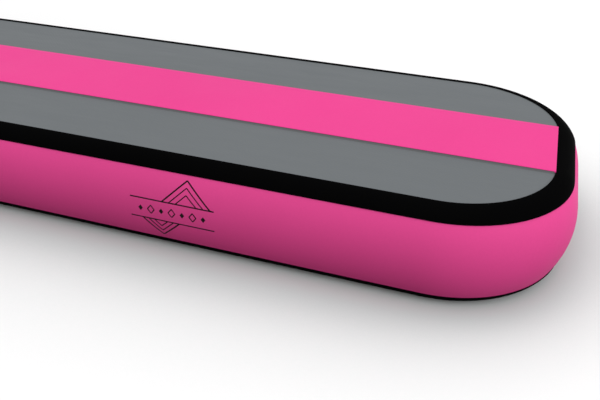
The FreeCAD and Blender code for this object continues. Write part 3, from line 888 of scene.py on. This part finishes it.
def make_cap_strap():
    """The living strap: from the ring's tab it turns back over itself to the cap's rim."""
    hinge_y, ring_level, cap_level = 31.5 * MM, 2.3 * MM, 6.85 * MM
    bend = (cap_level - ring_level) / 2
    line = [(hinge_y - 0.6 * MM, ring_level, 0.0), (hinge_y - 0.2 * MM, ring_level, 0.0)]
    for k in range(13):
        a = math.pi * k / 12
        line.append((hinge_y + bend * math.sin(a), ring_level + bend * (1 - math.cos(a)), a))
    line += [(hinge_y - d * MM, cap_level, math.pi) for d in (1.5, 3.0, 5.0, 7.0, 9.0, 10.1)]
    half = 4.5 * MM
    rings, flow = [], []
    for y, level, tilt in line:
        waist = 1.0 - 0.24 * math.sin(tilt)
        slim = 1.0 - 0.35 * math.sin(tilt)
        ring = []
        for up, f in ((-1, 0.4), (-0.93, 1), (-0.4, 1), (0.4, 1), (0.93, 1), (1, 0.4),
                      (1, -0.4), (0.93, -1), (0.4, -1), (-0.4, -1), (-0.93, -1), (-1, -0.4)):
            t = f * 0.55 * MM * slim
            ring.append((-wall_x - (level + t * math.cos(tilt)), y - t * math.sin(tilt),
                         mid_height + up * half * waist))
        rings.append(ring)
        flow.append([(y, z, 0.0) for _, _, z in ring])
    strap = loft("cap_strap", rings, flow=flow)
    finish_piece(strap, rubber, body=None, nodes=["valve_cap_strap"])
    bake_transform(strap)


def make_valve_spring():
    """A coil spring with closed ends, between the spring seat and the spider."""
    seat_x, spider_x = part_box("valve_spring_seat")[1].x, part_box("valve_spider")[0].x
    wire, coil = 0.5 * MM, 4.4 * MM
    start, end = seat_x + wire + glue_gap, spider_x - wire - glue_gap
    turns, pieces, around = 5.0, 240, 10
    climb = np.clip((np.linspace(0, turns, pieces) - 0.6) / (turns - 1.2), 0, 1)
    middle_x = start + (end - start) * climb
    rings, flow = [], []
    for k in range(pieces):
        a = 2 * math.pi * turns * k / (pieces - 1)
        outward = np.array((0.0, math.cos(a), math.sin(a)))
        middle = np.array((middle_x[k], 0.0, mid_height)) + coil * outward
        rings.append([middle + wire * (math.cos(b) * outward + math.sin(b) * np.array((1.0, 0, 0)))
                      for b in np.linspace(0, 2 * math.pi, around, endpoint=False)])
        flow.append([(a * coil, b * wire, 0.0) for b in range(around)])
    spring = loft("valve_spring_coil", rings, flow=flow, sharp=60.0)
    finish_piece(spring, steel, nodes=["valve_spring"])
    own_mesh(spring)


# ---- print on the near wall ----
print_x = border.x - 338 * MM
print_half = 44 * MM
line_width = 1.35 * MM
rule_turns = (84, 99)
lozenge_pitch = 11 * MM
ink_level = 0.10 * MM


def ink_line(a, b, width=line_width):
    """A straight inked line between two (x, up) points, as a grid of (x, up) rows."""
    a, b = np.array(a), np.array(b)
    ahead = (b - a) / np.linalg.norm(b - a)
    aside = np.array((-ahead[1], ahead[0])) * width / 2
    count = max(2, math.ceil(np.linalg.norm(b - a) / (1.5 * MM)))
    middles = [a + (b - a) * k / count for k in range(count + 1)]
    return [(middle - aside, middle + aside) for middle in middles]


def lozenge_outline(x, up, half_x, half_up):
    """A lozenge drawn with four lines."""
    corners = [(x - half_x, up), (x, up + half_up), (x + half_x, up), (x, up - half_up)]
    return [ink_line(a, b, 0.8 * line_width) for a, b in zip(corners, corners[1:] + corners[:1])]


def filled_lozenge(x, up, half_x, half_up):
    rows = []
    for k in range(9):
        f = k / 4 - 1
        at, reach = x + f * half_x, max(1 - abs(f), 0.03) * half_up
        rows.append((np.array((at, up - reach)), np.array((at, up + reach))))
    return rows


def chevrons(x, base, sign, sizes):
    """Nested chevrons that stand on a rule, the outer one drawn heavier."""
    lines = []
    for k, size in enumerate(sizes):
        width = line_width * (0.8 if k else 1.1)
        for hand in (-1, 1):
            foot, peak = (x + hand * size * 0.95, base), (x, base + sign * size * 0.98)
            lines.append(ink_line(foot, peak, width))
    return lines


def make_print(wall):
    """Two plain rules with a row of lozenges between them, and nested chevrons above and below."""
    upper, lower = [side_radius * math.radians(90 - turned) for turned in rule_turns]
    left, right = print_x - print_half, print_x + print_half
    shapes = [ink_line((left, up), (right, up)) for up in (upper, lower)]
    middle = (upper + lower) / 2
    for k in range(-3, 4):
        x = print_x + k * lozenge_pitch
        if k % 2:
            shapes.append(filled_lozenge(x, middle, 2.4 * MM, 3.2 * MM))
        else:
            shapes += lozenge_outline(x, middle, 3.6 * MM, 4.8 * MM)
    shapes += chevrons(print_x + 15 * MM, upper, 1, [size * MM for size in (26.5, 19, 11.5)])
    shapes += chevrons(print_x - 12 * MM, lower, -1, [size * MM for size in (20.5, 14, 7.5)])
    tree = BVHTree.FromObject(wall, bpy.context.evaluated_depsgraph_get())
    vertices, faces = [], []
    for rows in shapes:
        first = len(vertices)
        for row in rows:
            for level in (ink_level, -ink_level):
                for x, up in row:
                    start = Vector(on_wall(x, up, 10 * MM, -1))
                    inward = -Vector(wall_normal(up, -1))
                    hit = tree.ray_cast(start, inward)[0]
                    vertices.append(hit - inward * level)
        count = len(rows)
        for k in range(count - 1):
            a, b = first + 4 * k, first + 4 * (k + 1)
            faces += [[a, a + 1, b + 1, b], [a + 2, b + 2, b + 3, a + 3],
                      [a, b, b + 2, a + 2], [a + 1, a + 3, b + 3, b + 1]]
        last = first + 4 * (count - 1)
        faces += [[first, first + 2, first + 3, first + 1], [last, last + 1, last + 3, last + 2]]
    finish_piece(closed_piece("wall_print", vertices, faces), ink)


top_skin, bottom_skin, grip_sheet = make_skins()
wall, liner = make_wall()
top_band, bottom_band, tapes = make_bands()
stripe = make_stripe()
make_stripe_welds()
make_joint_strips()
make_handle("near", -1)
make_handle("far", 1)
make_valve_patch()
make_cap_strap()
make_valve_spring()
make_print(wall)


def declare_sheets():
    """Gathers the wall, liner, bands and tapes as strips, each with its turns, depth, a length and
    another piece's name; nothing reads the list.
    """

    strips = [(wall, wall_turn, 180.0 - wall_turn, skin_depth, bulge, "top_skin_cloth"),
              (liner, liner_turn, 180.0 - liner_turn, liner_depth, bulge - liner_depth,
               "wall_cloth"),
              (top_band, 0.0, shoulder_turn, 0.0, shoulder_radius / 2, "top_skin_cloth"),
              (bottom_band, 0.0, shoulder_turn, 0.0, shoulder_radius / 2, "bottom_skin_cloth")]
    strips += [(tape, *tape_turns, tape_depth, 0.4 * shoulder_radius, "wall_liner_cloth")
               for tape in tapes]


declare_sheets()

# ---- CAD nodes that stay, with their materials ----
kept = {
    black_plastic: ["valve_body", "valve_cap", "valve_nut", "valve_inner_washer"],
    white_plastic: ["valve_stem", "valve_poppet", "valve_spider"],
    rubber: ["valve_gasket", "valve_cap_gasket", "valve_tether_ring", "valve_poppet_seal"],
    steel: ["valve_spring_seat"],
    yarn_cloth: ["drop_stitch_yarns"],
}
for material, names in kept.items():
    for name in names:
        for material_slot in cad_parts[name].material_slots:
            material_slot.material = material

# ---- stage, lights and camera ----
def make_stage():
    half = 30.0
    mesh = bpy.data.meshes.new("floor")
    corners = [(-half, -half, 0), (half, -half, 0), (half, half, 0), (-half, half, 0)]
    mesh.from_pydata(corners, [], [(0, 1, 2, 3)])
    floor = add_to_scene("floor", mesh)
    floor.location.z = -0.2 * MM
    material, tree, shader = new_material("pale_floor_painted_shadow", 0.9, 0.0)
    # The floor's colour is darkened where the ambient occlusion node finds the mat close by: a
    # painted shadow round the mat.
    shade = add_node(tree, "ShaderNodeAmbientOcclusion", {"Distance": 0.42}, samples=16)
    open_share = between(tree, shade.outputs["AO"], 0.0, 1.0, 0.42, 1.0)
    painted_shadow_fade = math_node(tree, "POWER", open_share, 2.3)
    ramp = add_node(tree, "ShaderNodeValToRGB", {"Fac": painted_shadow_fade})
    stops = ramp.color_ramp.elements
    for position in (0.08, 0.42):
        stops.new(position)
    # painted shadow colours, darkest at the mat's foot and white in the open; the darker stops lean
    # to cyan to offset the pink light bounced off the wall
    painted_shadow_colours = ((0.600, 0.614, 0.612), (0.570, 0.635, 0.620),
               (0.738, 0.776, 0.766), (0.90, 0.90, 0.90))
    for stop, colour in zip(stops, painted_shadow_colours):
        stop.color = (*colour, 1.0)
    tree.links.new(ramp.outputs["Color"], shader.inputs["Base Color"])
    mesh.materials.append(material)
    floor.visible_diffuse = False


def make_lights():
    """A white dome, brightest well above the horizon, and a soft light off the plain end."""
    world = bpy.data.worlds.new("studio")
    bpy.context.scene.world = world
    world.use_nodes = True
    tree = world.node_tree
    background = tree.nodes["Background"]
    direction = add_node(tree, "ShaderNodeTexCoord").outputs["Generated"]
    up = add_node(tree, "ShaderNodeSeparateXYZ", {"Vector": direction}).outputs["Z"]
    above = between(tree, up, 0.0, 1.0, -0.02, 0.02)
    # above the horizon, at height z on the dome: 0.42 + 0.30 z + 3.0 z^2 - 2.6 z^3
    brightness = -2.6
    for term in (3.0, 0.30, 0.42):
        brightness = math_node(tree, "MULTIPLY_ADD", up, brightness, term)
    dome = math_node(tree, "MULTIPLY_ADD", above, brightness, 0.02)
    tree.links.new(dome, background.inputs["Strength"])
    background.inputs["Color"].default_value = (1.0, 1.0, 1.0, 1.0)
    light = bpy.data.lights.new("end_light", "AREA")
    light.shape = "RECTANGLE"
    light.size, light.size_y = 2.0, 1.5
    light.energy = 22.0
    lamp = add_to_scene("end_light", light)
    lamp.location = (wall_x + 2.2, -0.85, 1.1)
    aim = Vector((wall_x - 0.1, 0.0, 0.05)) - lamp.location
    lamp.rotation_mode = "QUATERNION"
    lamp.rotation_quaternion = aim.to_track_quat("-Z", "Y")


def make_camera():
    data = bpy.data.cameras.new("camera")
    camera = add_to_scene("camera", data)
    data.sensor_width = 36.0
    data.lens = 48.2
    data.shift_x = 0.1064
    data.shift_y = -0.0717
    camera.location = (border.x - 48.5 * MM, -755.1 * MM, mat_height + 363.1 * MM)
    camera.rotation_euler = (math.radians(90 - 28.34), 0.0, math.radians(20.656))
    bpy.context.scene.camera = camera


make_stage()
make_lights()
make_camera()
bpy.context.scene.view_settings.view_transform = "Standard"
